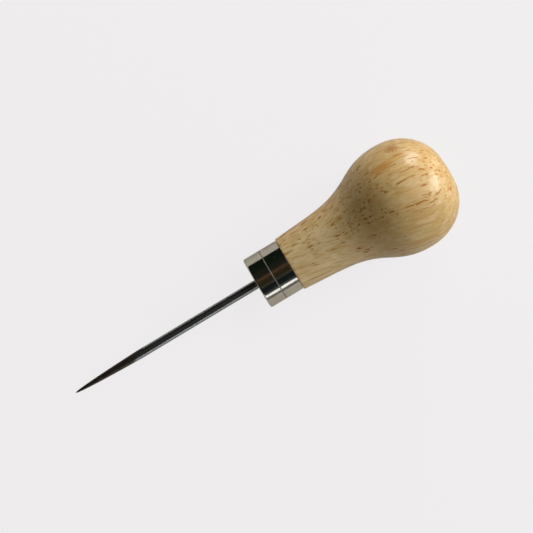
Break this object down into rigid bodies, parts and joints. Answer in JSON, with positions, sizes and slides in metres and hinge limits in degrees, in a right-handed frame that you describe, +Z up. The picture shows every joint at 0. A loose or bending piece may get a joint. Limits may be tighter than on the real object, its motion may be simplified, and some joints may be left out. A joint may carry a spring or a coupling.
{
  "type": "scratch awl",
  "caption": "Hand awl with a ball-ended turned wooden handle, a plated metal ferrule and a slender round blade ground to a point.",
  "frame": {"origin": "on the ground under the middle of the tool's bounding box, with the tool lying at rest on its blade near the point and on the belly of its knob", "axes": "+X runs level along the tool from the blade's point towards the knob, +Z is up, and the tool's own axis rises 8.7 degrees towards the knob in the XZ plane"},
  "size_m": [0.126, 0.0338, 0.0339],
  "materials": {
    "handle_wood": "pale straight-grained hardwood under clear gloss lacquer",
    "ferrule_plate": "bright nickel plate, polished",
    "blade_steel": "polished shank with a duller ground point",
    "cement": "cured amber epoxy"
  },
  "bodies": {
    "root": {"handle": "handle_wood", "ferrule": "ferrule_plate", "blade": "blade_steel", "tang_cement": "cement"}
  },
  "joints": []
}
